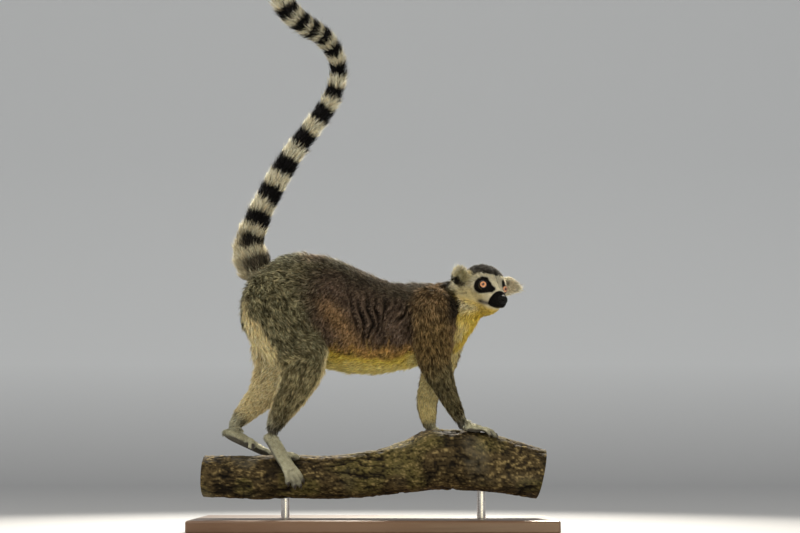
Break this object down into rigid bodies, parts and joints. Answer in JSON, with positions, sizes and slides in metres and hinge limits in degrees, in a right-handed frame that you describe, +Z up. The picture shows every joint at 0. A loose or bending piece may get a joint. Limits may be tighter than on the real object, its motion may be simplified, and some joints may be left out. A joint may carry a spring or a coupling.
{
  "type": "ring-tailed lemur",
  "caption": "Life-size still model of a ring-tailed lemur walking along a cut length of branch, tail raised, on a flat base with short rods.",
  "frame": {"origin": "middle of the display base's underside", "axes": "+X along the branch to where the animal walks, +Y towards the animal's left side, +Z up"},
  "size_m": [0.5, 0.24, 0.777],
  "materials": {
    "grey_brown_fur": "short dense coat, grey-brown above and cream below",
    "white_fur": "short cream-white coat with dark eye patches and crown",
    "ringed_fur": "bushy coat in black and white rings",
    "amber_eye": "polished amber eye with a black pupil",
    "black_skin": "moist bare black skin",
    "grey_skin": "grey fingers and toes with dark bare pads",
    "bark": "rough furrowed bark with pale cut ends",
    "walnut": "satin oiled board",
    "brushed_steel": "brushed"
  },
  "bodies": {
    "root": {"trunk": "grey_brown_fur", "neck": "white_fur", "head": "white_fur", "ear_left": "white_fur", "ear_right": "white_fur", "eye_left": "amber_eye", "eye_right": "amber_eye", "nose": "black_skin", "upper_arm_left": "grey_brown_fur", "upper_arm_right": "grey_brown_fur", "forearm_left": "grey_brown_fur", "forearm_right": "grey_brown_fur", "hand_left": "grey_skin", "hand_right": "grey_skin", "thigh_left": "grey_brown_fur", "thigh_right": "grey_brown_fur", "shank_left": "grey_brown_fur", "shank_right": "grey_brown_fur", "foot_left": "grey_skin", "foot_right": "grey_skin", "tail_1": "ringed_fur", "tail_2": "ringed_fur", "tail_3": "ringed_fur", "tail_4": "ringed_fur", "perch_branch": "bark", "stand_base": "walnut", "stand_rod_front": "brushed_steel", "stand_rod_rear": "brushed_steel"}
  },
  "joints": []
}
